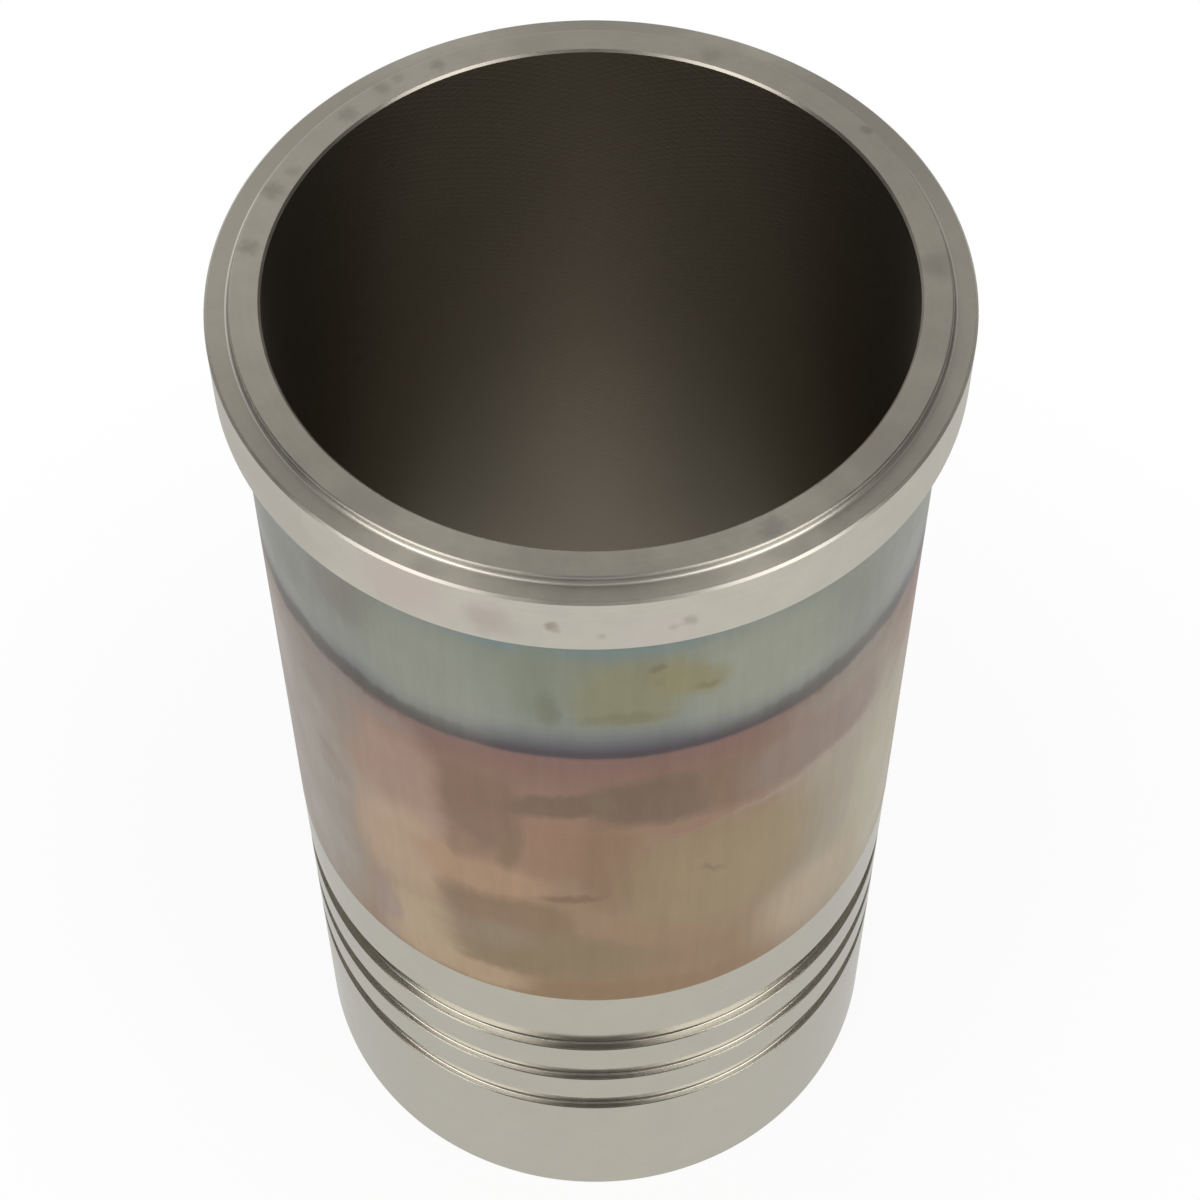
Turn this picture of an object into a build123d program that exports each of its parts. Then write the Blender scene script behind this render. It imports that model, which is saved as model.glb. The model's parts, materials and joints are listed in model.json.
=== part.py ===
"""Wet cylinder liner with a stepped collar: one turned piece of centrifugally cast iron.

The whole piece is a body of revolution. Its half-section is drawn with radius along X and
height along Y, every shoulder, groove and broken edge included, and is then turned once
about the upright axis. The liner stands on its bottom face, at height zero.
"""

import os

from build123d import *

# Tube
bore_diameter = 125.0
jacket_wall = 6.75
overall_length = 260.0

# Collar at the top: a flange that hangs in the block and a raised land round the bore
flange_overhang = 4.1
flange_thickness = 14.5
flange_edge_break = 0.5
land_wall = 6.2
land_height = 1.5
land_edge_break = 0.3
land_root_bevel = 0.25

# Relief in the corner under the flange: a slot at 45 degrees, clear of the counterbore's corner
relief_reach = 0.8
relief_depth = 0.6
relief_root_radius = 0.25

# Seal band: the lower part, ground a little under the jacket's diameter after heat treatment
grinding_stock = 0.1
band_above_grooves = 17.5

# Seal grooves, from the skirt upwards: two for O-rings and a wider one above them
skirt_height = 44.5
groove_land = 10.0
o_ring_groove_width = 5.4
o_ring_groove_depth = 1.4
o_ring_groove_count = 2
crevice_groove_width = 7.5
crevice_groove_depth = 1.9
groove_root_bevel = 0.35
groove_edge_break = 0.25

# Entries
bore_top_break = 0.5
bore_bottom_lead_height = 2.0
bore_bottom_lead_depth = 1.1
skirt_lead_height = 1.5
skirt_lead_depth = 0.6

# Radii and heights worked out from the sizes above
bore_radius = bore_diameter / 2
jacket_radius = bore_radius + jacket_wall
band_radius = jacket_radius - grinding_stock
flange_radius = jacket_radius + flange_overhang
land_radius = bore_radius + land_wall
ledge_height = overall_length - land_height
seat_height = ledge_height - flange_thickness


def groove_spans():
    """Bottom height, top height and depth of each seal groove, from the skirt upwards."""
    cuts = [(o_ring_groove_width, o_ring_groove_depth)] * o_ring_groove_count
    cuts.append((crevice_groove_width, crevice_groove_depth))
    spans = []
    low = skirt_height
    for width, depth in cuts:
        spans.append((low, low + width, depth))
        low += width + groove_land
    return spans


def ring_section(inner, outer, low, high):
    """Section of a plain turned ring between two radii and two heights."""
    return Pos(inner, low) * Rectangle(outer - inner, high - low, align=(Align.MIN, Align.MIN))


def bevel_section(radius, height, radial, axial):
    """Triangle in a corner, with one leg along the radius and one along the height."""
    points = ((radius, height), (radius + radial, height), (radius, height + axial))
    return Polygon(*points, align=None)


def round_root(section, corner, root_radius):
    """Round the inner corner of a section that lies at the given radius and height."""
    nearest = section.vertices().sort_by_distance((*corner, 0))[0]
    return fillet(nearest, root_radius)


def tube_section():
    """Wall of the jacket and, below it, the seal band ground slightly smaller."""
    crevice_groove_top = groove_spans()[-1][1]
    band_top = crevice_groove_top + band_above_grooves
    band = ring_section(bore_radius, band_radius, 0, band_top)
    jacket = ring_section(bore_radius, jacket_radius, band_top, seat_height)
    return band + jacket


def collar_section():
    """Flange with the raised land on it, its edges broken and the land's root bevelled."""
    flange = ring_section(bore_radius, flange_radius, seat_height, ledge_height)
    land = ring_section(bore_radius, land_radius, ledge_height, overall_length)
    collar = flange + land
    collar -= bevel_section(flange_radius, seat_height, -flange_edge_break, flange_edge_break)
    collar -= bevel_section(flange_radius, ledge_height, -flange_edge_break, -flange_edge_break)
    collar -= bevel_section(land_radius, overall_length, -land_edge_break, -land_edge_break)
    collar += bevel_section(land_radius, ledge_height, land_root_bevel, land_root_bevel)
    return collar


def cut_relief(section):
    """Cut the relief's slot, with a round-cornered floor, between the jacket and the seat."""
    upper_root = (jacket_radius + relief_reach - relief_depth, seat_height + relief_depth)
    lower_root = (jacket_radius - relief_depth, seat_height - relief_reach + relief_depth)
    upper_lip = (jacket_radius + relief_reach, seat_height)
    lower_lip = (jacket_radius, seat_height - relief_reach)
    section -= Polygon(upper_lip, upper_root, lower_root, lower_lip, align=None)
    section = round_root(section, upper_root, relief_root_radius)
    return round_root(section, lower_root, relief_root_radius)


def seal_groove_section(low, high, depth):
    """Section that a grooving tool cuts: square, with bevelled roots and broken rims."""
    root = band_radius - depth
    groove = ring_section(root, band_radius, low, high)
    groove -= bevel_section(root, low, groove_root_bevel, groove_root_bevel)
    groove -= bevel_section(root, high, groove_root_bevel, -groove_root_bevel)
    groove += bevel_section(band_radius, low, -groove_edge_break, -groove_edge_break)
    groove += bevel_section(band_radius, high, -groove_edge_break, groove_edge_break)
    return groove


def cut_seal_grooves(section):
    """Turn the seal grooves into the band, one after another."""
    for low, high, depth in groove_spans():
        section -= seal_groove_section(low, high, depth)
    return section


def cut_entries(section):
    """Bevel both ends of the bore and the outside of the skirt, where seals slide in."""
    section -= bevel_section(bore_radius, overall_length, bore_top_break, -bore_top_break)
    section -= bevel_section(bore_radius, 0, bore_bottom_lead_depth, bore_bottom_lead_height)
    section -= bevel_section(band_radius, 0, -skirt_lead_depth, skirt_lead_height)
    return section


def cylinder_liner():
    """The liner: its finished half-section turned about the upright axis."""
    section = tube_section() + collar_section()
    section = cut_relief(section)
    section = cut_seal_grooves(section)
    section = cut_entries(section)
    return revolve(Plane.XZ * section, Axis.Z)


os.makedirs("parts", exist_ok=True)
export_step(cylinder_liner(), "parts/cylinder_liner.step")
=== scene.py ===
"""A wet cylinder liner, turned from centrifugally cast iron, on a pale studio floor.

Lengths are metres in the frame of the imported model. The liner stands on height 0 and its axis
is Z. Azimuth is the angle round that axis, 0 towards -Y, where the camera is, and positive
towards +X.
"""

import json
import math

import bpy
import numpy as np
from bpy.props import FloatProperty, FloatVectorProperty, IntProperty, PointerProperty
from mathutils import Matrix, Vector


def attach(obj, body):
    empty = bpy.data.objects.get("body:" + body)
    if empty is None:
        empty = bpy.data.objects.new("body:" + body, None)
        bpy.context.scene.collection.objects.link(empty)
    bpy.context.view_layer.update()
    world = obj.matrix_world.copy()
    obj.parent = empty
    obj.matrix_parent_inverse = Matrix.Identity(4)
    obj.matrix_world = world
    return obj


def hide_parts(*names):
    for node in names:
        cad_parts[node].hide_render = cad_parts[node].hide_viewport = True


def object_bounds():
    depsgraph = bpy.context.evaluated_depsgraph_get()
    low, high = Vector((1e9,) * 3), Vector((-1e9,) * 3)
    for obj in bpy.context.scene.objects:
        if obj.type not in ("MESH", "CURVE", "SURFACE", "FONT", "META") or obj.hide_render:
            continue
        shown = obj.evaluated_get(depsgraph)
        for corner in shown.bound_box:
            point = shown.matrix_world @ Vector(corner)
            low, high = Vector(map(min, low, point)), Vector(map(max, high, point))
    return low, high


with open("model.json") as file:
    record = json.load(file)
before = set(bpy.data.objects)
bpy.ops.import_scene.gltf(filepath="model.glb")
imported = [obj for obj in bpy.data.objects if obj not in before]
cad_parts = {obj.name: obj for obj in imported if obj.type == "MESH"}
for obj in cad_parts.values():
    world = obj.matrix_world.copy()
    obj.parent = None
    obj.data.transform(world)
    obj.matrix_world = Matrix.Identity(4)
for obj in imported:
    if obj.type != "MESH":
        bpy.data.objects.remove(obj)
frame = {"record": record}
cad_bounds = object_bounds()

bl_info = {
    "name": "Cylinder liner",
    "version": (1, 0, 0),
    "blender": (4, 5, 0),
    "location": "View3D > Sidebar > Liner",
    "description": "Builds a turned and heat-tinted cylinder liner and the studio it stands in",
    "category": "Object",
}

NODE = "cylinder_liner"
MM = 0.001
SENSOR_WIDTH = 36.0
QUARTER_TURN = 0.25

FINISHES = ("honed", "faced", "ledge", "stepped", "turned", "tinted", "ground", "grooved")
HONED, FACED, LEDGE, STEPPED, TURNED, TINTED, GROUND, GROOVED = range(len(FINISHES))

# Scale of each noise, as its cells in a metre, with the size of one cell
HANDLING_CLOUD = 110.0  # 9 mm
STAIN_GRAIN = 700.0  # 1.4 mm
BORE_CLOUD = 22.0  # 45 mm
TINT_DRIFT = 55.0  # 18 mm
TINT_STREAKS = 420.0  # 2.4 mm
FEED_PATCHES = 28.0  # 36 mm

# Feed marks: cells of noise in one pitch, their contrast and their height
FEED_CELLS = 0.7
FEED_CONTRAST = 1.4
FEED_DEPTH = 0.01 * MM
BUMP_STRENGTH = 0.3

# Values between which most of a noise lies
MARKS_LOW, MARKS_HIGH = 0.25, 0.75
CLOUD_LOW, CLOUD_HIGH = 0.35, 0.65
NOISE_LOW, NOISE_HIGH = 0.3, 0.7

mounts = {mount["name"]: mount for mount in frame["record"]["mounts"]}
radii = {name: mount["dims"].get("r_mm", 0) * MM for name, mount in mounts.items()}
heights = {name: mount["pos_m"][2] for name, mount in mounts.items()}
rim_half_height = mounts["flange_rim"]["dims"]["length_mm"] * MM / 2
flange_edge = 0.5 * MM
high_point = cad_bounds[1].z


def linear(hex_colour):
    """Linear colour of an sRGB hex value.

    A value v becomes v / 12.92 up to 0.04045, and ((v + 0.055) / 1.055) ^ 2.4 above it.
    """
    values = np.array([int(hex_colour[i:i + 2], 16) for i in (1, 3, 5)]) / 255
    curve = np.where(values <= 0.04045, values / 12.92, ((values + 0.055) / 1.055) ** 2.4)
    return (*curve.tolist(), 1.0)


def length(name, description, default):
    """A property that holds a length in metres."""
    return FloatProperty(name=name, description=description, default=default, min=0.0,
                         precision=5, subtype="DISTANCE", unit="LENGTH")


def angle(name, description, degrees):
    """A property that holds an angle, given here in degrees."""
    return FloatProperty(name=name, description=description, default=math.radians(degrees),
                         subtype="ANGLE", unit="ROTATION")


def colour(name, description, hex_colour):
    """A property that holds a linear colour, given here as an sRGB hex value."""
    return FloatVectorProperty(name=name, description=description, size=4, min=0.0, max=1.0,
                               default=linear(hex_colour), subtype="COLOR")


def share(name, description, default):
    """A property that holds a share from 0 to 1."""
    return FloatProperty(name=name, description=description, default=default, min=0.0, max=1.0,
                         subtype="FACTOR")


class LinerSizes(bpy.types.PropertyGroup):
    """Sizes of the turned section."""

    bore_radius: length("Bore radius", "Radius of the honed bore", radii["bore"])
    jacket_radius: length("Jacket radius", "Radius of the wall that stands in the coolant",
                          radii["jacket_wall"])
    band_radius: length("Band radius", "Radius of the ground seal band and the skirt",
                        radii["lower_pilot"])
    flange_radius: length("Flange radius", "Radius of the flange's rim", radii["flange_rim"])
    land_radius: length("Land radius", "Outer radius of the raised land", 68.7 * MM)
    top: length("Overall length", "Height of the land's face", heights["gasket_land"])
    ledge: length("Ledge height", "Height of the flange's upper face",
                  heights["flange_rim"] + rim_half_height + flange_edge)
    seat: length("Seat height", "Height of the flange's underside", heights["flange_seat"])
    band_top: length("Band height", "Height at which the ground band ends", 100.3 * MM)
    skirt: length("Skirt height", "Height of the plain skirt under the grooves", 44.5 * MM)
    groove_land: length("Groove spacing", "Height of the land between two grooves", 10.0 * MM)
    ring_groove: length("O-ring groove", "Width of each of the two lower grooves", 5.4 * MM)
    crevice_groove: length("Crevice groove", "Width of the upper groove", 7.5 * MM)
    ring_depth: length("O-ring groove depth", "Depth of the two lower grooves", 1.4 * MM)
    crevice_depth: length("Crevice groove depth", "Depth of the upper groove", 1.9 * MM)
    flange_break: length("Flange edge", "Bevel on the flange's rim", flange_edge)
    mouth_break: length("Mouth edge", "Bevel on the bore's mouth", 0.5 * MM)
    land_break: length("Land edge", "Bevel on the raised land's rim", 0.3 * MM)
    groove_break: length("Groove edge", "Bevel on the grooves' rims", 0.25 * MM)
    relief_reach: length("Relief width", "Reach of the relief along the wall and the seat",
                         0.8 * MM)
    relief_depth: length("Relief depth", "Depth of the relief's slot", 0.6 * MM)
    bore_lead_height: length("Bore lead height", "Height of the bevel inside the foot", 2.0 * MM)
    bore_lead: length("Bore lead", "Radial depth of the bevel inside the foot", 1.1 * MM)
    skirt_lead_height: length("Skirt lead height", "Height of the bevel outside the foot", 1.5 * MM)
    skirt_lead: length("Skirt lead", "Radial depth of the bevel outside the foot", 0.6 * MM)
    edge_round: length("Edge rounding", "Radius left on each bevel's edges", 0.1 * MM)
    root_round: length("Root rounding", "Radius in the grooves' corners", 0.4 * MM)
    land_rim_round: length("Land's rim rounding", "Radius left on the edges of the land's bevel",
                           0.5 * MM)
    land_root_round: length("Land's root rounding", "Radius in the corner of land and ledge",
                            0.7 * MM)
    arc_steps: IntProperty(name="Arc steps", description="Faces across each rounded corner",
                           default=5, min=2, max=12)
    round_steps: IntProperty(name="Round steps", description="Faces round the axis",
                             default=320, min=32, max=400)


class LinerFinish(bpy.types.PropertyGroup):
    """Colours and roughness of the machined surfaces."""

    honed: colour("Honed bore", "Plateau-honed cast iron", "#9b9384")
    faced: colour("Faced land", "Face-turned cast iron of the raised land", "#aca79b")
    ledge: colour("Faced ledge", "Face-turned cast iron of the flange's ledge", "#b0ab9f")
    stepped: colour("Turned step", "Turned cast iron of the land's edge and its root", "#cdc9bf")
    turned: colour("Turned rim", "Fine-turned cast iron of the flange's rim", "#c1bdb1")
    ground: colour("Ground band", "Ground cast iron of the seal band and the skirt", "#b6b2a5")
    grooved: colour("Cut grooves", "Form-tooled cast iron of the grooves", "#bfbbb1")
    honed_roughness: share("Bore roughness", "Roughness of the honed bore", 0.36)
    faced_roughness: share("Land roughness", "Roughness of the faced land", 0.36)
    ledge_roughness: share("Ledge roughness", "Roughness of the faced ledge", 0.38)
    stepped_roughness: share("Step roughness", "Roughness of the land's edge and its root", 0.36)
    turned_roughness: share("Rim roughness", "Roughness of the turned rim", 0.38)
    ground_roughness: share("Band roughness", "Roughness of the ground band", 0.25)
    tinted_roughness: share("Jacket roughness", "Roughness of the heat-tinted jacket", 0.36)
    grooved_roughness: share("Groove roughness", "Roughness of the cut grooves", 0.2)


class StudioSettings(bpy.types.PropertyGroup):
    """Camera, lamps and floor."""

    distance: length("Camera distance", "From the middle of the land's face", 534.06 * MM)
    elevation: angle("Camera elevation", "Height of the camera as seen from the land's face", 48.33)
    pitch: angle("Camera pitch", "How far the camera looks down", 54.78)
    yaw: angle("Camera yaw", "How far the camera looks to the right", 0.24)
    roll: angle("Camera roll", "How far the camera leans", -0.203)
    lens: FloatProperty(name="Lens", description="Focal length on a 36 mm sensor, in millimetres",
                        default=84.14, min=10.0)
    backdrop: colour("Backdrop", "Colour of the floor and the background", "#ffffff")
    paper: colour("Paper", "Colour of the floor where the lamps light it", "#f4f4f1")
    floor_size: length("Floor size", "Side of the square floor", 12.0)
    floor_glow: share("Floor glow", "Share of the floor near the liner shown as the backdrop", 0.92)
    bore_glow: share("Bore glow", "The same share in the middle of the floor in the liner", 0.54)
    bore_glow_aside: share("Bore glow aside", "The same share at its left and right ends", 0.21)
    side_light: FloatProperty(name="Side light", description="Radiance of the two softboxes",
                              default=2.8, min=0.0)
    side_azimuth: angle("Side azimuth", "Angle of the softboxes to each side of the camera", 50.0)
    side_elevation: angle("Side elevation", "Height of the softboxes above the horizon", 42.0)
    lamp_distance: length("Lamp distance", "From the liner to each softbox", 1.25)
    lamp_width: length("Lamp width", "Width of each softbox", 0.64)
    lamp_height: length("Lamp height", "Height of each softbox", 1.35)


def fillet_outline(corners, rounding, steps):
    """Stations along a closed outline whose corners are rounded, with their outward normals.

    At a corner p the outline turns by t, from unit direction a to b. The arc of radius r starts
    at p - r tan(|t| / 2) a. Its normal turns evenly from the outward normal of a to that of b,
    and a point on it is the centre plus r times that normal at an outer corner, minus at an
    inner one. Both results have the shape (corners, steps + 1, 2).
    """
    before = corners - np.roll(corners, 1, 0)
    before /= np.linalg.norm(before, axis=1, keepdims=True)
    after = np.roll(before, -1, 0)
    cross = before[:, 0] * after[:, 1] - before[:, 1] * after[:, 0]
    turn = np.arctan2(cross, (before * after).sum(1))
    side = np.sign(turn) * rounding
    start = corners - (rounding * np.tan(abs(turn) / 2))[:, None] * before
    heading = np.arctan2(before[:, 1], before[:, 0])
    swept = heading[:, None] + turn[:, None] * np.linspace(0, 1, steps + 1)
    normals = np.stack([np.sin(swept), -np.cos(swept)], 2)
    centre = start - side[:, None] * normals[:, 0]
    return centre[:, None] + side[:, None, None] * normals, normals


def turned_mesh(name, corners, rounding, finishes, arc_steps, round_steps):
    """Closed mesh of an outline turned once round Z.

    A station (r, h) with normal (m, n) gives, at azimuth u, the point (r sin u, -r cos u, h)
    with the normal (m sin u, -m cos u, n). The faces of an arc and of the run after it take the
    finish of that run.
    """
    stations, slopes = fillet_outline(corners, rounding, arc_steps)
    stations, slopes = stations.reshape(-1, 2), slopes.reshape(-1, 2)
    azimuth = np.linspace(0, 2 * np.pi, round_steps, endpoint=False)
    across, along = np.sin(azimuth), -np.cos(azimuth)
    count = len(stations)
    points, normals = (
        np.stack([
            values[:, :1] * across,
            values[:, :1] * along,
            np.broadcast_to(values[:, 1:], (count, round_steps)),
        ], 2).reshape(-1, 3)
        for values in (stations, slopes)
    )
    row, column = np.meshgrid(np.arange(count), np.arange(round_steps), indexing="ij")
    next_row, next_column = (row + 1) % count, (column + 1) % round_steps
    quads = np.stack([
        row * round_steps + column,
        row * round_steps + next_column,
        next_row * round_steps + next_column,
        next_row * round_steps + column,
    ], 2).reshape(-1, 4)
    mesh = bpy.data.meshes.new(name)
    mesh.from_pydata(points.tolist(), [], quads.tolist())
    mesh.polygons.foreach_set("material_index", np.repeat(finishes, (arc_steps + 1) * round_steps))
    mesh.polygons.foreach_set("use_smooth", np.ones(len(quads), bool))
    mesh.normals_split_custom_set_from_vertices(normals.tolist())
    mesh.update()
    return mesh


def groove_corners(size, low, high, depth):
    """Corners of one seal groove, from its lower rim to its upper one, with each run's finish."""
    rim, root, edge = size.band_radius, size.band_radius - depth, size.groove_break
    return [
        (rim, low - edge, size.edge_round, GROUND),
        (rim - edge, low, size.edge_round, GROOVED),
        (root, low, size.root_round, GROOVED),
        (root, high, size.root_round, GROOVED),
        (rim - edge, high, size.edge_round, GROUND),
        (rim, high + edge, size.edge_round, GROUND),
    ]


def liner_corners(size):
    """Corners of the whole section as (radius, height, rounding, finish of the run that follows).

    They go along the foot outwards, up the outside, over the collar and down the bore, so that
    the metal is on the left and the outward normal on the right.
    """
    edge = size.edge_round
    # The step at the band's top is too low for full arcs, and the relief has room for larger ones
    step_round, relief_round = edge / 3, 2 * edge
    relief = size.relief_reach - size.relief_depth
    corners = [
        (size.bore_radius + size.bore_lead, 0, edge, GROUND),
        (size.band_radius - size.skirt_lead, 0, edge, GROUND),
        (size.band_radius, size.skirt_lead_height, edge, GROUND),
    ]
    low = size.skirt
    ring = (size.ring_groove, size.ring_depth)
    for width, depth in (ring, ring, (size.crevice_groove, size.crevice_depth)):
        corners += groove_corners(size, low, low + width, depth)
        low += width + size.groove_land
    corners += [
        (size.band_radius, size.band_top, step_round, GROUND),
        (size.jacket_radius, size.band_top, step_round, TINTED),
        (size.jacket_radius, size.seat - size.relief_reach, edge, GROOVED),
        (size.jacket_radius - size.relief_depth, size.seat - relief, relief_round, GROOVED),
        (size.jacket_radius + relief, size.seat + size.relief_depth, relief_round, GROOVED),
        (size.jacket_radius + size.relief_reach, size.seat, edge, TURNED),
        (size.flange_radius - size.flange_break, size.seat, edge, TURNED),
        (size.flange_radius, size.seat + size.flange_break, edge, TURNED),
        (size.flange_radius, size.ledge - size.flange_break, edge, TURNED),
        (size.flange_radius - size.flange_break, size.ledge, edge, LEDGE),
        (size.land_radius, size.ledge, size.land_root_round, STEPPED),
        (size.land_radius, size.top - size.land_break, size.land_rim_round, STEPPED),
        (size.land_radius - size.land_break, size.top, size.land_rim_round, FACED),
        (size.bore_radius + size.mouth_break, size.top, edge, FACED),
        (size.bore_radius, size.top - size.mouth_break, edge, HONED),
        (size.bore_radius, size.bore_lead_height, edge, HONED),
    ]
    return corners


def add_node(tree, kind, values=None, stops=None, **settings):
    """Adds a shader node with its settings, its inputs as values or links, and a ramp's stops."""
    node = tree.nodes.new("ShaderNode" + kind)
    for name, value in settings.items():
        setattr(node, name, value)
    for name, value in (values or {}).items():
        if isinstance(value, bpy.types.NodeSocket):
            tree.links.new(value, node.inputs[name])
        else:
            node.inputs[name].default_value = value
    for index, (place, shade) in enumerate(stops or ()):
        ramp = node.color_ramp.elements
        element = ramp[index] if index < 2 else ramp.new(1.0)
        element.position, element.color = place, shade
    return node


def new_group(name, inputs, outputs):
    """A node group with the named input and output sockets, and its two end nodes."""
    group = bpy.data.node_groups.new(name, "ShaderNodeTree")
    for socket, kind in inputs.items():
        group.interface.new_socket(socket, in_out="INPUT", socket_type=kind)
    for socket, kind in outputs.items():
        group.interface.new_socket(socket, in_out="OUTPUT", socket_type=kind)
    return group, group.nodes.new("NodeGroupInput"), group.nodes.new("NodeGroupOutput")


def wall_group(radius):
    """Group that unrolls the wall: arc position azimuth * radius along X and height along Y."""
    group, _, end = new_group("Unrolled wall", {}, {
        "Unrolled": "NodeSocketVector", "Azimuth": "NodeSocketFloat", "Height": "NodeSocketFloat",
    })
    place = add_node(group, "TexCoord")
    split = add_node(group, "SeparateXYZ", {0: place.outputs["Object"]})
    forward = add_node(group, "Math", {0: split.outputs["Y"], 1: -1.0}, operation="MULTIPLY")
    azimuth = add_node(group, "Math", {0: split.outputs["X"], 1: forward.outputs[0]},
                       operation="ARCTAN2")
    arc = add_node(group, "Math", {0: azimuth.outputs[0], 1: radius}, operation="MULTIPLY")
    join = add_node(group, "CombineXYZ", {"X": arc.outputs[0], "Y": split.outputs["Z"]})
    group.links.new(join.outputs[0], end.inputs["Unrolled"])
    group.links.new(azimuth.outputs[0], end.inputs["Azimuth"])
    group.links.new(split.outputs["Z"], end.inputs["Height"])
    return group


def feed_group():
    """Group for the marks that a tool leaves as it feeds.

    They are noise over radius + height, which moves along every run of the section, with about
    one mark each Pitch. Their contrast fades in and out in patches a few centimetres wide, so that
    the turning doesn't look printed.
    """
    group, start, end = new_group("Feed marks", {"Pitch": "NodeSocketFloat"},
                                  {"Marks": "NodeSocketFloat"})
    place = add_node(group, "TexCoord")
    split = add_node(group, "SeparateXYZ", {0: place.outputs["Object"]})
    flat = add_node(group, "CombineXYZ",
                    {"X": split.outputs["X"], "Y": split.outputs["Y"]})
    radius = add_node(group, "VectorMath", {0: flat.outputs[0]}, operation="LENGTH")
    run = add_node(group, "Math", {0: radius.outputs["Value"], 1: split.outputs["Z"]},
                   operation="ADD")
    turns = add_node(group, "Math", {0: run.outputs[0], 1: start.outputs["Pitch"]},
                     operation="DIVIDE")
    marks = add_node(group, "TexNoise", {
        "W": turns.outputs[0], "Scale": FEED_CELLS, "Detail": 3.0, "Roughness": 0.65,
    }, noise_dimensions="1D")
    patches = add_node(group, "TexNoise", {
        "Vector": place.outputs["Object"], "Scale": FEED_PATCHES, "Detail": 2.0})
    centred = add_node(group, "Math", {0: marks.outputs[0], 1: 0.5}, operation="SUBTRACT")
    spread = add_node(group, "Math", {0: centred.outputs[0], 1: FEED_CONTRAST},
                      operation="MULTIPLY")
    faded = add_node(group, "Math", {0: spread.outputs[0], 1: patches.outputs[0], 2: 0.5},
                     operation="MULTIPLY_ADD")
    group.links.new(faded.outputs[0], end.inputs["Marks"])
    return group


def patch_group():
    """Group for one patch of tint, painted reflection or painted shade, which mixes its colour into
    what lies under it.

    It is a superellipse |x|^n + |y|^n <= 1 round a centre on the unrolled wall, with n its
    Squareness, turned and with half sizes of its own, and faded over Softness at its edge.
    """
    group, start, end = new_group("Tint patch", {
        "Base": "NodeSocketColor", "Unrolled": "NodeSocketVector", "Centre": "NodeSocketVector",
        "Half Size": "NodeSocketVector", "Turn": "NodeSocketVector",
        "Squareness": "NodeSocketFloat", "Softness": "NodeSocketFloat",
        "Colour": "NodeSocketColor", "Strength": "NodeSocketFloat",
    }, {"Colour": "NodeSocketColor"})
    local = add_node(group, "Mapping", {
        "Vector": start.outputs["Unrolled"], "Location": start.outputs["Centre"],
        "Rotation": start.outputs["Turn"], "Scale": start.outputs["Half Size"],
    }, vector_type="TEXTURE")
    extent = add_node(group, "VectorMath", {0: local.outputs[0]}, operation="ABSOLUTE")
    split = add_node(group, "SeparateXYZ", {0: extent.outputs[0]})
    powers = [
        add_node(group, "Math", {0: split.outputs[axis], 1: start.outputs["Squareness"]},
                 operation="POWER")
        for axis in ("X", "Y")
    ]
    total = add_node(group, "Math", {0: powers[0].outputs[0], 1: powers[1].outputs[0]},
                     operation="ADD")
    root = add_node(group, "Math", {0: 1.0, 1: start.outputs["Squareness"]}, operation="DIVIDE")
    reach = add_node(group, "Math", {0: total.outputs[0], 1: root.outputs[0]}, operation="POWER")
    inner, outer = (
        add_node(group, "Math", {0: 1.0, 1: start.outputs["Softness"]}, operation=change)
        for change in ("SUBTRACT", "ADD")
    )
    mask = add_node(group, "MapRange", {
        "Value": reach.outputs[0], "From Min": inner.outputs[0], "From Max": outer.outputs[0],
        "To Min": start.outputs["Strength"], "To Max": 0.0,
    }, interpolation_type="SMOOTHSTEP")
    mixed = add_node(group, "Mix", {
        "Factor": mask.outputs[0], 6: start.outputs["Base"], 7: start.outputs["Colour"],
    }, data_type="RGBA")
    group.links.new(mixed.outputs[2], end.inputs["Colour"])
    return group


def metal(name, roughness, anisotropy, edge_tint):
    """A bare metal with the common set-up: the material, its tree and its shader.

    The marks of turning run round the axis, and reflections stretch across them.
    """
    material = bpy.data.materials.new(name)
    material.use_nodes = True
    tree = material.node_tree
    tree.nodes.clear()
    around = add_node(tree, "Tangent", direction_type="RADIAL", axis="Z")
    shader = add_node(tree, "BsdfPrincipled", {
        "Metallic": 1.0, "Roughness": roughness, "Anisotropic": anisotropy,
        "Anisotropic Rotation": QUARTER_TURN, "Tangent": around.outputs[0],
        "Specular Tint": (edge_tint, edge_tint, edge_tint, 1.0),
    })
    add_node(tree, "OutputMaterial", {"Surface": shader.outputs[0]})
    return material, tree, shader


# Stains on the bare metal: azimuth in degrees, radius, height and reach in millimetres, colour and
# strength
FACE_STAINS = (
    (-98.5, 66.0, 260, 2.0, "#868077", 0.5), (-111.6, 66.4, 260, 2.2, "#827d74", 0.5),
    (-117, 65.0, 260, 1.3, "#8e877e", 0.4), (-133.1, 65.8, 260, 2.0, "#87817a", 0.5),
    (-141.5, 66.6, 260, 1.6, "#8c857c", 0.45), (-145, 67.2, 260, 1.2, "#8e877d", 0.4),
    (-152.5, 66.1, 260, 1.5, "#867f76", 0.5), (29, 66.2, 260, 2.6, "#8b8782", 0.55),
    (158, 65.4, 260, 2.0, "#948d82", 0.5), (126, 67.6, 260, 1.2, "#8f867a", 0.6),
    (93, 65.8, 260, 3.2, "#938e86", 0.6), (-38, 65.8, 260, 6.0, "#a09a92", 0.5),
    (52, 65.6, 260, 7.0, "#a29a90", 0.5), (-170, 65.8, 260, 5.0, "#a49d90", 0.5),
)
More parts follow.
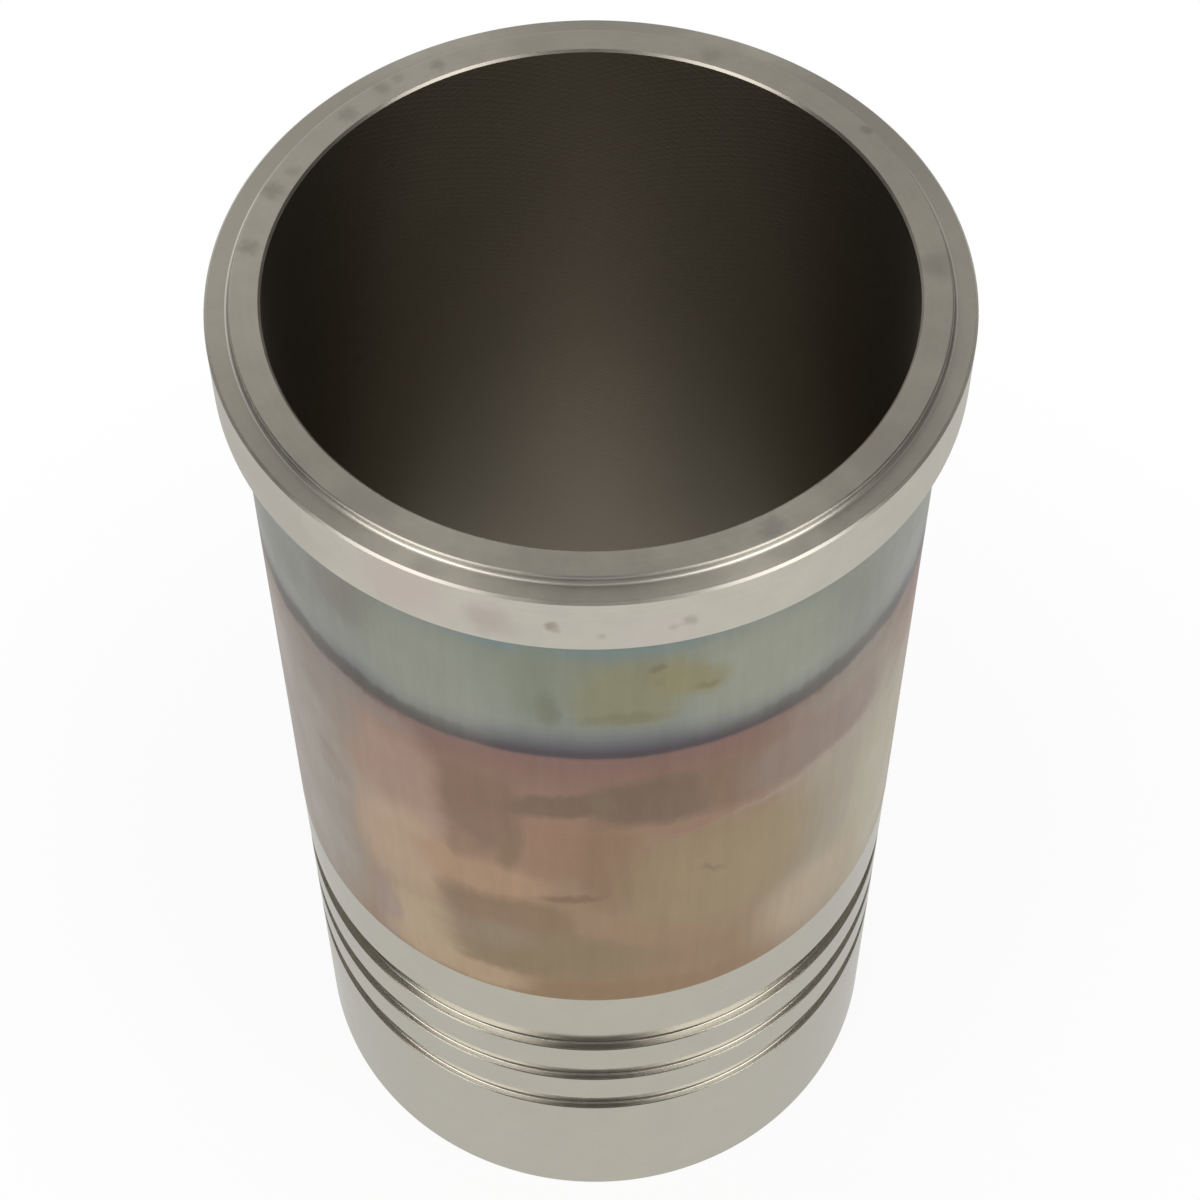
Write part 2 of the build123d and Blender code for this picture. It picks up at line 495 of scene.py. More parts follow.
RIM_STAINS = (
    (-28, 73.3, 253, 9.0, "#c3b3ac", 0.65), (-15, 73.3, 251, 4.5, "#ae9e99", 0.55),
    (-52, 73.3, 250, 12.0, "#b5aea4", 0.5), (-70, 73.3, 252, 12.0, "#b3ada3", 0.5),
    (9, 73.3, 247, 6.0, "#c9beb8", 0.45), (-5.9, 73.3, 251.4, 1.3, "#948c80", 0.75),
    (-5.2, 73.3, 250.2, 0.8, "#a0988d", 0.6), (1.2, 73.3, 248.6, 0.8, "#a59a90", 0.5),
    (13.6, 73.3, 250.6, 1.5, "#a19a8e", 0.6), (11.2, 73.3, 249.4, 0.9, "#aba295", 0.5),
)

# A stain's edge, in shares of its reach: how far noise moves it, and from where to where it fades.
# Stains that reach further than COARSE_STAIN, in millimetres, have a coarser edge.
STAIN_RAGGED = 1.3
STAIN_INNER, STAIN_OUTER = 0.9, 2.2
COARSE_STAIN = 3

# Machined surfaces: the material's name, anisotropy, tint at grazing angles, pitch of the feed,
# contrast of the feed marks and of the handling marks, and stains
MACHINED = {
    "faced": ("Face-turned land", 0.75, 0.75, 0.7 * MM, 0.02, 0.07, FACE_STAINS),
    "ledge": ("Face-turned ledge", 0.9, 0.75, 0.7 * MM, 0.03, 0.07, ()),
    "stepped": ("Turned step", 0.75, 0.75, 0.4 * MM, 0.04, 0.025, ()),
    "turned": ("Fine-turned cast iron", 0.4, 0.78, 0.5 * MM, 0.03, 0.045, RIM_STAINS),
    "ground": ("Ground cast iron", 0.5, 0.8, 0.45 * MM, 0.04, 0.03, ()),
    "grooved": ("Form-tooled cast iron", 0.3, 0.75, 0.4 * MM, 0.05, 0.025, ()),
}


def machined_material(surface, finish, groups):
    """A machined surface of cast iron, which the eye sees as grey metal with fine even lines.

    Feed marks in colour and height lie over a faint cloud of handling marks, and any stains lie
    on top.
    """
    name, anisotropy, edge_tint, pitch, contrast, mottle, stains = MACHINED[surface]
    shade, roughness = getattr(finish, surface), getattr(finish, surface + "_roughness")
    material, tree, shader = metal(name, roughness, anisotropy, edge_tint)
    place = add_node(tree, "TexCoord")
    marks = add_node(tree, "Group", {"Pitch": pitch}, node_tree=groups["feed"])
    cloud = add_node(tree, "TexNoise", {
        "Vector": place.outputs["Object"], "Scale": HANDLING_CLOUD, "Detail": 5.0,
        "Roughness": 0.65})
    lined = add_node(tree, "MapRange", {
        "Value": marks.outputs[0], "From Min": MARKS_LOW, "From Max": MARKS_HIGH,
        "To Min": 1.0 - contrast, "To Max": 1.0 + contrast})
    clouded = add_node(tree, "MapRange", {
        "Value": cloud.outputs[0], "From Min": CLOUD_LOW, "From Max": CLOUD_HIGH,
        "To Min": 1.0 - mottle, "To Max": 1.0 + mottle})
    level = add_node(tree, "Math", {0: lined.outputs[0], 1: clouded.outputs[0]},
                     operation="MULTIPLY")
    tone = add_node(tree, "VectorMath", {0: shade[:3], "Scale": level.outputs[0]},
                    operation="SCALE")
    painted = tone.outputs[0]
    if stains:
        grain = add_node(tree, "TexNoise", {
            "Vector": place.outputs["Object"], "Scale": STAIN_GRAIN, "Detail": 3.0})
    for azimuth, radius, height, reach, stain, strength in stains:
        turn = math.radians(azimuth)
        spot = (radius * math.sin(turn) * MM, -radius * math.cos(turn) * MM, height * MM)
        away = add_node(tree, "VectorMath", {0: place.outputs["Object"], 1: spot},
                        operation="DISTANCE")
        noise = cloud if reach > COARSE_STAIN else grain
        ragged = add_node(tree, "Math", {
            0: noise.outputs[0], 1: reach * STAIN_RAGGED * MM, 2: away.outputs["Value"],
        }, operation="MULTIPLY_ADD")
        mask = add_node(tree, "MapRange", {
            "Value": ragged.outputs[0], "From Min": reach * STAIN_INNER * MM,
            "From Max": reach * STAIN_OUTER * MM, "To Min": strength, "To Max": 0.0,
        }, interpolation_type="SMOOTHSTEP")
        stained = add_node(tree, "Mix", {
            "Factor": mask.outputs[0], 6: painted, 7: linear(stain)}, data_type="RGBA")
        painted = stained.outputs[2]
    tree.links.new(painted, shader.inputs["Base Color"])
    rough = add_node(tree, "MapRange", {
        "Value": cloud.outputs[0], "From Min": NOISE_LOW, "From Max": NOISE_HIGH,
        "To Min": roughness - 0.03, "To Max": roughness + 0.04})
    tree.links.new(rough.outputs[0], shader.inputs["Roughness"])
    relief = add_node(tree, "Bump", {
        "Height": marks.outputs[0], "Strength": BUMP_STRENGTH, "Distance": FEED_DEPTH})
    tree.links.new(relief.outputs[0], shader.inputs["Normal"])
    return material


# Waves whose sum is the honing's hatch: how many go round the bore, and radians in a metre of
# height. On a bore of 125 mm they lie at 22.5 degrees, and are 0.9, 1.4 and 0.6 mm apart.
HONING_WAVES = ((167.0, 6450.0), (109.0, 4210.0), (241.0, 9300.0))
HATCH_SPAN = 4.0
HATCH_DEPTH = 0.004 * MM


def honed_material(finish, groups):
    """Plateau-honed cast iron, which the eye sees as a soft grey-brown sheen.

    Two sets of fine scratches cross at 45 degrees. The real ones are some 0.05 mm apart, too fine
    to show, so they are drawn 0.6 to 1.4 mm apart. They are the sum of sines of
    count * azimuth + rate * height, with each count both ways round, and whole counts close them.
    """
    material, tree, shader = metal("Plateau-honed cast iron", finish.honed_roughness, 0.5, 0.6)
    wall = add_node(tree, "Group", node_tree=groups["wall"])
    place = add_node(tree, "TexCoord")
    waves = []
    for count, rate in HONING_WAVES:
        along = add_node(tree, "Math", {0: wall.outputs["Height"], 1: rate}, operation="MULTIPLY")
        for sense in (1, -1):
            phase = add_node(tree, "Math", {
                0: wall.outputs["Azimuth"], 1: sense * count, 2: along.outputs[0],
            }, operation="MULTIPLY_ADD")
            waves.append(add_node(tree, "Math", {0: phase.outputs[0]}, operation="SINE"))
    total = waves[0]
    for wave in waves[1:]:
        total = add_node(tree, "Math", {0: total.outputs[0], 1: wave.outputs[0]}, operation="ADD")
    hatch = add_node(tree, "MapRange", {
        "Value": total.outputs[0], "From Min": -HATCH_SPAN, "From Max": HATCH_SPAN,
        "To Min": 0.94, "To Max": 1.06})
    cloud = add_node(tree, "TexNoise", {
        "Vector": place.outputs["Object"], "Scale": BORE_CLOUD, "Detail": 4.0})
    clouded = add_node(tree, "MapRange", {
        "Value": cloud.outputs[0], "From Min": NOISE_LOW, "From Max": NOISE_HIGH,
        "To Min": 0.95, "To Max": 1.04})
    level = add_node(tree, "Math", {0: hatch.outputs[0], 1: clouded.outputs[0]},
                     operation="MULTIPLY")
    tone = add_node(tree, "VectorMath", {0: finish.honed[:3], "Scale": level.outputs[0]},
                    operation="SCALE")
    tree.links.new(tone.outputs[0], shader.inputs["Base Color"])
    rough = add_node(tree, "MapRange", {
        "Value": total.outputs[0], "From Min": -HATCH_SPAN, "From Max": HATCH_SPAN,
        "To Min": finish.honed_roughness - 0.04, "To Max": finish.honed_roughness + 0.04})
    tree.links.new(rough.outputs[0], shader.inputs["Roughness"])
    relief = add_node(tree, "Bump", {
        "Height": total.outputs[0], "Strength": BUMP_STRENGTH, "Distance": HATCH_DEPTH})
    tree.links.new(relief.outputs[0], shader.inputs["Normal"])
    return material


# Heat tint by height in millimetres, with painted shade: blue-green under the flange, a violet
# edge, then brown
TINT_AND_PAINTED_SHADE_BY_HEIGHT = (
    (100.3, "#93795f"), (106, "#937a61"), (125, "#967f68"), (150, "#98806a"), (172, "#967c69"),
    (190, "#8a6f61"), (196, "#85695e"), (200.6, "#826760"), (201.2, "#574e50"), (202.6, "#554d50"),
    (205, "#646265"), (208.5, "#787a78"), (212, "#868981"), (222, "#868a7c"), (233, "#838679"),
    # The stops at 239 and 244 are darker by painted shade under the flange
    (239, "#7d8480"), (244, "#7a8079"),
)

# Patches of tint and of painted light in the order in which they lie on each other: azimuth in
# degrees and height in millimetres of the centre, half width and half height in millimetres, turn
# in degrees, squareness, softness, colour and strength
TINT_AND_PAINTED_LIGHT_PATCHES = {
    "cool left shoulder": (-58, 226, 20, 17, 0, 3, 0.5, "#86857f", 0.8),
    "brown-grey spot": (-44, 230, 9, 8, 0, 2.5, 0.5, "#7c7970", 0.8),
    # The next two are painted reflection: lighter patches where the softboxes mirror in the jacket
    # to each side of the front
    "pale left window": (-27, 220, 13, 15, 0, 3, 0.5, "#909286", 0.8),
    "pale right window": (29, 222, 16, 15, 0, 3, 0.5, "#959789", 0.8),
    "cool right shoulder": (47, 224, 9, 16, 0, 3, 0.5, "#888a80", 0.7),
    "far right shoulder": (61, 224, 10, 18, 0, 3, 0.5, "#8f9089", 0.7),
    # The next two are teal tint, darker by painted shade under the flange
    "teal under the flange, left": (-14, 238.5, 10, 3.2, 0, 2, 0.6, "#788684", 0.85),
    "teal under the flange, right": (6, 238.5, 16, 3.4, 0, 2, 0.6, "#7a8782", 0.85),
    "green shade": (-9, 226, 4.5, 13, 0, 3, 0.5, "#7f8474", 0.7),
    "grey smear": (-7, 217.5, 2, 5.5, 0, 2, 0.7, "#777868", 0.75),
    "olive stain": (5.5, 223, 9.5, 10, 0, 2.6, 0.45, "#888466", 0.78),
    "olive stain's foot": (5, 215, 7, 2.2, 0, 2, 0.6, "#7d795e", 0.7),
    "olive stain's tail": (15.5, 225.5, 8, 4.6, -30, 2.3, 0.5, "#8b8564", 0.8),
    "stain's dark grain": (10, 230.3, 1.7, 1.2, 0, 2, 0.7, "#787260", 0.75),
    "stain's second grain": (10, 226, 1.0, 1.4, 0, 2, 0.7, "#7c745e", 0.35),
    "stain's third grain": (18.5, 222.2, 2.4, 1.0, -15, 2, 0.7, "#7b7457", 0.6),
    "grey-mauve left flank": (-63, 146, 21, 52, 0, 3, 0.45, "#9a9187", 0.9),
    "beige right flank": (51, 146, 20, 50, 0, 3, 0.45, "#a29988", 0.85),
    "cream far right": (65, 130, 15, 38, 0, 3, 0.45, "#b0a892", 0.9),
    "mauve left": (-52, 188, 14, 10, 0, 3, 0.5, "#8b7f75", 0.7),
    "grey edge, left": (-43, 196.5, 16, 3.2, 0, 2.5, 0.5, "#857c75", 0.7),
    "grey edge, right": (48, 196.5, 18, 3.6, 0, 2.5, 0.6, "#8d8579", 0.65),
    "soft edge, left": (-50, 203.2, 29, 2.7, 0, 3, 0.5, "#57524a", 0.78),
    "soft edge, right": (50, 203.2, 27, 2.7, 0, 3, 0.5, "#5e5a53", 0.72),
    "salmon left": (-36, 172, 10.5, 22, 0, 3, 0.4, "#a18777", 0.85),
    "tan left": (-36.5, 146, 11, 17, 0, 3, 0.4, "#b19981", 0.85),
    "tan by the curtain": (-20, 149, 14, 7.5, 0, 3, 0.4, "#a98b71", 0.85),
    "dark left spot": (-53, 158, 5, 5.5, 0, 2.5, 0.5, "#8b7b6f", 0.7),
    "straw left": (-33, 116, 9, 14, 0, 3, 0.4, "#b09b80", 0.85),
    "mauve strip": (-41, 112, 3, 16, 0, 3, 0.5, "#9b887f", 0.7),
    "tan front": (-6.5, 167, 7.5, 13, 0, 3, 0.3, "#977963", 0.85),
    "brown front": (3.5, 160, 6, 18, 6, 3, 0.4, "#8c715b", 0.8),
    "olive front": (24, 147.5, 22, 20.5, 0, 3, 0.35, "#978669", 0.9),
    "dark curtain": (-20, 176, 8.3, 16, 3, 2.8, 0.3, "#836a58", 0.9),
    "curtain's hem, left": (-23.5, 160, 3, 5, 0, 2.5, 0.5, "#927662", 0.75),
    "curtain's hem, right": (-15, 162, 2.6, 6, 0, 2.5, 0.5, "#856e59", 0.8),
    "dark arc, left": (-5, 183, 12, 4.4, 12, 2.5, 0.32, "#776454", 0.9),
    "dark arc, middle": (10.5, 183.5, 12.5, 8.6, 0, 3.2, 0.28, "#776555", 0.9),
    "dark arc, right": (24, 183.7, 7.5, 9.2, 0, 3, 0.35, "#846c59", 0.9),
    "dark arc, far right": (42, 182.5, 19, 9, -3, 3.2, 0.3, "#8d7b70", 0.9),
    "light in the arc": (1.5, 184, 3, 5, 30, 2, 0.5, "#7f6f5b", 0.6),
    "salmon streak": (15, 172.2, 14, 1.7, -2, 2, 0.6, "#957863", 0.75),
    "pink streak": (43, 171.5, 20, 1.3, 2, 2, 0.7, "#a39085", 0.75),
    "dark streak": (-4, 145.3, 7, 1.7, 6, 2, 0.5, "#866b57", 0.85),
    "dark grain": (20, 152, 3, 1.2, -40, 2, 0.6, "#83755e", 0.75),
    "grey belly, upper": (-16, 133, 14, 9.3, 0, 3, 0.3, "#88715a", 0.9),
    "grey belly, lower": (-9.5, 120, 22, 10.5, 0, 2.5, 0.32, "#8b7a60", 0.9),
    "belly's haze": (-18, 125, 8, 6, 0, 2, 0.6, "#91806d", 0.7),
    "light streak": (10, 129, 17, 4.5, -30, 3, 0.35, "#9a8068", 0.85),
    "reddish toe": (24, 112.5, 16, 8.5, -16, 2.6, 0.4, "#937b62", 0.8),
    "reddish foot": (2, 104, 26, 4, 0, 3, 0.4, "#8f765c", 0.85),
    "cream toe": (45, 116, 16, 13, -8, 2.5, 0.5, "#b09f86", 0.8),
    "straw toe": (-26, 105.5, 17, 4.7, 0, 3, 0.35, "#ae967b", 0.9),
}

# How far the noises bend the tint: round the wall, along it, and the bands' edges up and down
DRIFT_BEND = (11 * MM, 8 * MM, 0.0)
STREAK_BEND = (3 * MM, 3 * MM, 0.0)
BAND_WAVER = 1.5 * MM
# Streaks are drawn out along the axis by 1 / 0.12, and the jacket is turned at a pitch of 0.6 mm
STREAK_STRETCH = (1.0, 1.0, 0.12)
JACKET_PITCH = 0.6 * MM


def tinted_material(size, finish, groups):
    """Heat-tinted turned cast iron: a thin oxide that dulls the metal and follows the feed marks.

    The eye sees it as blue-green, violet and brown bands, with the drips and patches where the
    iron cooled unevenly. Two pale patches to each side of the front are a painted reflection of the
    softboxes, and the blue-green just under the flange is darkened by painted shade.
    """
    material, tree, shader = metal("Heat-tinted cast iron", finish.tinted_roughness, 0.35, 0.85)
    place = add_node(tree, "TexCoord")
    wall = add_node(tree, "Group", node_tree=groups["wall"])
    drift = add_node(tree, "TexNoise", {
        "Vector": place.outputs["Object"], "Scale": TINT_DRIFT, "Detail": 5.0, "Roughness": 0.6})
    stretched = add_node(tree, "VectorMath", {
        0: place.outputs["Object"], 1: STREAK_STRETCH}, operation="MULTIPLY")
    streaks = add_node(tree, "TexNoise", {
        "Vector": stretched.outputs[0], "Scale": TINT_STREAKS, "Detail": 3.0, "Roughness": 0.6})
    bent = wall.outputs["Unrolled"]
    for noise, bend in ((drift, DRIFT_BEND), (streaks, STREAK_BEND)):
        centred = add_node(tree, "VectorMath", {
            0: noise.outputs["Color"], 1: (0.5, 0.5, 0.5)}, operation="SUBTRACT")
        moved = add_node(tree, "VectorMath", {
            0: centred.outputs[0], 1: bend, 2: bent}, operation="MULTIPLY_ADD")
        bent = moved.outputs[0]
    low, high = TINT_AND_PAINTED_SHADE_BY_HEIGHT[0][0], TINT_AND_PAINTED_SHADE_BY_HEIGHT[-1][0]
    wavering = add_node(tree, "Math", {
        0: drift.outputs[0], 1: BAND_WAVER, 2: wall.outputs["Height"]}, operation="MULTIPLY_ADD")
    height = add_node(tree, "MapRange", {
        "Value": wavering.outputs[0], "From Min": low * MM + BAND_WAVER / 2,
        "From Max": high * MM + BAND_WAVER / 2})
    bands = add_node(tree, "ValToRGB", {"Fac": height.outputs[0]}, stops=[
        ((place_mm - low) / (high - low), linear(shade)) for place_mm, shade in TINT_AND_PAINTED_SHADE_BY_HEIGHT])
    painted = bands.outputs[0]
    for azimuth, middle, wide, tall, turn, *edge, shade, strength in TINT_AND_PAINTED_LIGHT_PATCHES.values():
        squareness, softness = edge
        patch = add_node(tree, "Group", {
            "Base": painted, "Unrolled": bent,
            "Centre": (math.radians(azimuth) * size.jacket_radius, middle * MM, 0.0),
            "Half Size": (wide * MM, tall * MM, 1.0), "Turn": (0.0, 0.0, math.radians(turn)),
            "Squareness": squareness, "Softness": softness,
            "Colour": linear(shade), "Strength": strength,
        }, node_tree=groups["patch"])
        painted = patch.outputs[0]
    marks = add_node(tree, "Group", {"Pitch": JACKET_PITCH}, node_tree=groups["feed"])
    lined = add_node(tree, "MapRange", {
        "Value": marks.outputs[0], "From Min": MARKS_LOW, "From Max": MARKS_HIGH,
        "To Min": 1.03, "To Max": 1.08})
    mottled = add_node(tree, "MapRange", {
        "Value": streaks.outputs[0], "From Min": NOISE_LOW, "From Max": NOISE_HIGH,
        "To Min": 0.96, "To Max": 1.04})
    level = add_node(tree, "Math", {0: lined.outputs[0], 1: mottled.outputs[0]},
                     operation="MULTIPLY")
    tone = add_node(tree, "VectorMath", {0: painted, "Scale": level.outputs[0]}, operation="SCALE")
    tree.links.new(tone.outputs[0], shader.inputs["Base Color"])
    rough = add_node(tree, "MapRange", {
        "Value": drift.outputs[0], "From Min": NOISE_LOW, "From Max": NOISE_HIGH,
        "To Min": finish.tinted_roughness - 0.04, "To Max": finish.tinted_roughness + 0.06})
    tree.links.new(rough.outputs[0], shader.inputs["Roughness"])
    relief = add_node(tree, "Bump", {
        "Height": marks.outputs[0], "Strength": BUMP_STRENGTH, "Distance": FEED_DEPTH})
    tree.links.new(relief.outputs[0], shader.inputs["Normal"])
    return material


class LINER_OT_turned_liner(bpy.types.Operator):
    """Turn the liner's section once round its axis and give each machined surface its finish"""

    bl_idname = "liner.turned_liner"
    bl_label = "Turned liner"
    bl_options = {"REGISTER", "UNDO"}

    def execute(self, context):
        size, finish = context.scene.liner_sizes, context.scene.liner_finish
        radius, height, rounding, finishes = np.array(liner_corners(size)).T
        mesh = turned_mesh("liner_turned", np.stack([radius, height], 1), rounding,
                           finishes.astype(int), size.arc_steps, size.round_steps)
        groups = {
            "wall": wall_group(size.jacket_radius), "feed": feed_group(), "patch": patch_group(),
        }
        made = {surface: machined_material(surface, finish, groups) for surface in MACHINED}
        made["honed"] = honed_material(finish, groups)
        made["tinted"] = tinted_material(size, finish, groups)
        for name in FINISHES:
            mesh.materials.append(made[name])
        liner = bpy.data.objects.new("liner_turned", mesh)
        context.scene.collection.objects.link(liner)
        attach(liner, "root")
        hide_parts(NODE)
        return {"FINISHED"}


def softbox(context, name, azimuth, elevation, distance, wide, tall, radiance):
    """An area lamp that faces the collar. Its power is radiance * pi * area."""
    aim = Vector((0, 0, high_point))
    towards = Vector((math.sin(azimuth) * math.cos(elevation),
                      -math.cos(azimuth) * math.cos(elevation), math.sin(elevation)))
    lamp = bpy.data.lights.new(name, "AREA")
    lamp.shape = "RECTANGLE"
    lamp.size, lamp.size_y = wide, tall
    lamp.energy = radiance * math.pi * wide * tall
    box = bpy.data.objects.new(name, lamp)
    box.matrix_world = Matrix.Translation(aim + distance * towards) @ (
        towards.to_track_quat("Z", "Y").to_matrix().to_4x4())
    box.visible_camera = False
    context.scene.collection.objects.link(box)


# Floor: radii between which its glow grows to full, the edge of the round of floor inside the
# liner, and the distances to the left and right between which that round's glow fades
FLOOR_FADE = (90 * MM, 250 * MM)
BORE_FLOOR_EDGE = (65 * MM, 66 * MM)
BORE_FLOOR_FADE = (10 * MM, 50 * MM)

# Brightness of the surroundings by the sine of the elevation: in front of the liner, where the
# camera is, to its sides, and behind it
SKY_FRONT = ((0.02, 0.4), (0.1, 0.2), (0.5, 0.15), (0.8, 0.15), (0.92, 0.22), (1.0, 0.32))
SKY_SIDES = ((0.02, 0.25), (0.14, 0.14), (0.5, 0.1), (0.8, 0.11), (0.92, 0.2), (1.0, 0.32))
SKY_BACK = ((0.04, 0.3), (0.3, 0.9), (0.5, 0.95), (0.7, 0.7), (0.82, 0.48), (1.0, 0.32))

# How the three are blended: a coordinate of the direction, two of its values and the results
# there. The last two rows' results multiply the back's brightness.
SKY_BLENDS = {
    "to the sides": ("Y", -0.6, -0.2, 0.0, 1.0),
    "to the back": ("Y", 0.3, 0.58, 0.0, 1.0),
    "brighter to the left": ("X", -0.4, 0.4, 1.6, 0.6),
    "dimmer far aside": ("aside", 0.4, 0.8, 1.0, 0.25),
}


class LINER_OT_studio(bpy.types.Operator):
    """Set up the pale floor, the softboxes, the pale surroundings and the camera"""

    bl_idname = "liner.studio"
    bl_label = "Studio"
    bl_options = {"REGISTER", "UNDO"}

    def execute(self, context):
        studio = context.scene.liner_studio
        self.make_floor(context, studio)
        self.make_surroundings(context, studio)
        self.make_lamps(context, studio)
        self.make_camera(context, studio)
        context.scene.view_settings.view_transform = "Standard"
        return {"FINISHED"}

    def make_floor(self, context, studio):
        """A flat square of matt paper, whose shown share takes the backdrop's colour as written.

        Camera, mirror and transmission rays see that share, and the rest is lit, so that the floor
        keeps the liner's shadow. The share grows outwards. Inside the liner it is smaller, most of
        all to the left and right, as little light comes down the bore, and there the shown share is
        a painted glow that the bore's walls mirror.
        """
        half = studio.floor_size / 2
        mesh = bpy.data.meshes.new("studio_floor")
        mesh.from_pydata([(-half, -half, 0), (half, -half, 0), (half, half, 0), (-half, half, 0)],
                         [], [(0, 1, 2, 3)])
        material = bpy.data.materials.new("Matt studio paper")
        material.use_nodes = True
        tree = material.node_tree
        tree.nodes.clear()
        place = add_node(tree, "TexCoord")
        away = add_node(tree, "VectorMath", {0: place.outputs["Object"]}, operation="LENGTH")
        outwards = add_node(tree, "MapRange", {
            "Value": away.outputs["Value"], "From Min": FLOOR_FADE[0], "From Max": FLOOR_FADE[1],
            "To Min": studio.floor_glow, "To Max": 1.0})
        split = add_node(tree, "SeparateXYZ", {0: place.outputs["Object"]})
        aside = add_node(tree, "Math", {0: split.outputs["X"]}, operation="ABSOLUTE")
        # Inside the liner the floor shows a painted glow, brightest in the middle and dimmest to
        # the left and right
        inside = add_node(tree, "MapRange", {
            "Value": aside.outputs[0], "From Min": BORE_FLOOR_FADE[0],
            "From Max": BORE_FLOOR_FADE[1],
            "To Min": studio.bore_glow, "To Max": studio.bore_glow_aside})
        dimmed = add_node(tree, "MapRange", {
            "Value": away.outputs["Value"], "From Min": BORE_FLOOR_EDGE[0],
            "From Max": BORE_FLOOR_EDGE[1], "To Min": inside.outputs[0], "To Max": 1.0})
        rays = add_node(tree, "LightPath")
        shown = rays.outputs["Is Camera Ray"]
        for socket, change in (
            (rays.outputs["Is Glossy Ray"], "MAXIMUM"),
            (rays.outputs["Is Transmission Ray"], "MAXIMUM"),
            (outwards.outputs[0], "MULTIPLY"),
            (dimmed.outputs[0], "MULTIPLY"),
        ):
            node = add_node(tree, "Math", {0: shown, 1: socket}, operation=change)
            shown = node.outputs[0]
        matt = add_node(tree, "BsdfDiffuse", {"Color": studio.paper[:]})
        plain = add_node(tree, "Emission", {"Color": studio.backdrop[:]})
        mixed = add_node(tree, "MixShader", {
            0: shown, 1: matt.outputs[0], 2: plain.outputs[0]})
        add_node(tree, "OutputMaterial", {"Surface": mixed.outputs[0]})
        mesh.materials.append(material)
        floor = bpy.data.objects.new("studio_floor", mesh)
        context.scene.collection.objects.link(floor)

    def make_surroundings(self, context, studio):
        """Pale surroundings: the backdrop's colour to the camera, and a dim room as light.

        The room is brightest behind the liner, most of all to the left, and dim in front, to the
        sides and overhead, as where the ceiling is out of the light.
        """
        world = bpy.data.worlds.new("Studio surroundings")
        world.use_nodes = True
        tree = world.node_tree
        tree.nodes.clear()
        place = add_node(tree, "TexCoord")
        split = add_node(tree, "SeparateXYZ", {0: place.outputs["Generated"]})
        front, sides, back = (
            add_node(tree, "ValToRGB", {"Fac": split.outputs["Z"]}, stops=[
                (rise, (level, level, level, 1.0)) for rise, level in levels])
            for levels in (SKY_FRONT, SKY_SIDES, SKY_BACK)
        )
        aside = add_node(tree, "Math", {0: split.outputs["X"]}, operation="ABSOLUTE")
        directions = {
            "X": split.outputs["X"], "Y": split.outputs["Y"], "aside": aside.outputs[0],
        }
        to_sides, to_back, leftwards, narrow = (
            add_node(tree, "MapRange", {
                "Value": directions[direction], "From Min": first, "From Max": last,
                "To Min": first_result, "To Max": last_result})
            for direction, first, last, first_result, last_result in SKY_BLENDS.values()
        )
        spread = add_node(tree, "Math", {0: leftwards.outputs[0], 1: narrow.outputs[0]},
                          operation="MULTIPLY")
        uneven = add_node(tree, "VectorMath", {
            0: back.outputs[0], "Scale": spread.outputs[0]}, operation="SCALE")
        near = add_node(tree, "Mix", {
            "Factor": to_sides.outputs[0], 6: front.outputs[0], 7: sides.outputs[0],
        }, data_type="RGBA")
        room = add_node(tree, "Mix", {
            "Factor": to_back.outputs[0], 6: near.outputs[2], 7: uneven.outputs[0],
        }, data_type="RGBA")
        lit = add_node(tree, "Background", {"Color": room.outputs[2]})
        plain = add_node(tree, "Background", {"Color": studio.backdrop[:]})
        rays = add_node(tree, "LightPath")
        mixed = add_node(tree, "MixShader", {
            0: rays.outputs["Is Camera Ray"], 1: lit.outputs[0], 2: plain.outputs[0]})
        add_node(tree, "OutputWorld", {"Surface": mixed.outputs[0]})
        context.scene.world = world

    def make_lamps(self, context, studio):
        """Two large softboxes, one to each side of the camera."""
        for side, name in ((-1, "softbox_left"), (1, "softbox_right")):
            softbox(context, name, side * studio.side_azimuth, studio.side_elevation,
                    studio.lamp_distance, studio.lamp_width, studio.lamp_height, studio.side_light)

    def make_camera(self, context, studio):
        """The camera stands in front of the collar and looks down into the bore."""
        data = bpy.data.cameras.new("studio_camera")
        data.lens = studio.lens
        data.sensor_width = SENSOR_WIDTH
        camera = bpy.data.objects.new("studio_camera", data)
        place = Vector((0, -studio.distance * math.cos(studio.elevation),
                        high_point + studio.distance * math.sin(studio.elevation)))
        camera.matrix_world = (
            Matrix.Translation(place)
            @ Matrix.Rotation(-studio.yaw, 4, "Z")
            @ Matrix.Rotation(math.pi / 2 - studio.pitch, 4, "X")
            @ Matrix.Rotation(studio.roll, 4, "Z"))
        context.scene.collection.objects.link(camera)
        context.scene.camera = camera


class LINER_PT_panel(bpy.types.Panel):
    """Sizes, finishes and studio of the liner"""

    bl_idname = "LINER_PT_panel"
    bl_label = "Cylinder liner"
    bl_space_type = "VIEW_3D"
    bl_region_type = "UI"
    bl_category = "Liner"

    def draw(self, context):
        for title, settings, operator in (
            ("Section", context.scene.liner_sizes, None),
            ("Finish", context.scene.liner_finish, LINER_OT_turned_liner),
            ("Studio", context.scene.liner_studio, LINER_OT_studio),
        ):
            box = self.layout.box()
            box.label(text=title)
            for name in settings.__annotations__:
                box.prop(settings, name)
            if operator:
                box.operator(operator.bl_idname)


CLASSES = (LinerSizes, LinerFinish, StudioSettings, LINER_OT_turned_liner, LINER_OT_studio,
           LINER_PT_panel)


def register():
    """Adds the classes and hangs the settings on the scene."""
    for cls in CLASSES:
        bpy.utils.register_class(cls)
    bpy.types.Scene.liner_sizes = PointerProperty(type=LinerSizes)
    bpy.types.Scene.liner_finish = PointerProperty(type=LinerFinish)
    bpy.types.Scene.liner_studio = PointerProperty(type=StudioSettings)


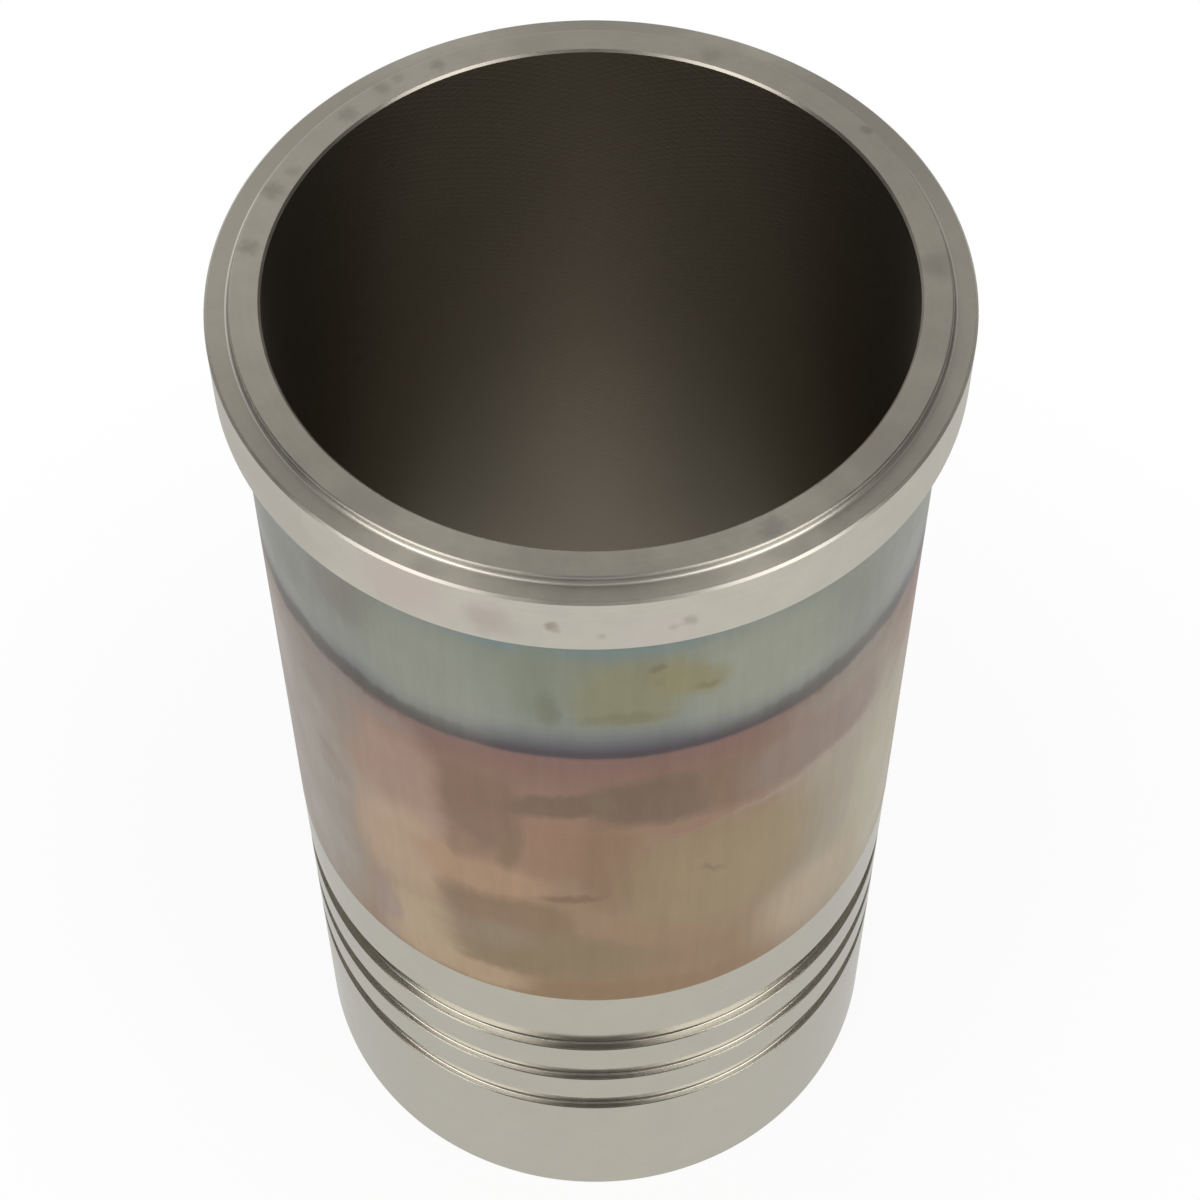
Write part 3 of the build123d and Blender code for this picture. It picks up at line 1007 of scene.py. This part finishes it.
def unregister():
    """Takes the settings and the classes away again."""
    del bpy.types.Scene.liner_studio
    del bpy.types.Scene.liner_finish
    del bpy.types.Scene.liner_sizes
    for cls in reversed(CLASSES):
        bpy.utils.unregister_class(cls)


def main():
    """Builds the liner and its studio."""
    register()
    bpy.ops.liner.turned_liner()
    bpy.ops.liner.studio()


if __name__ == "__main__":
    main()
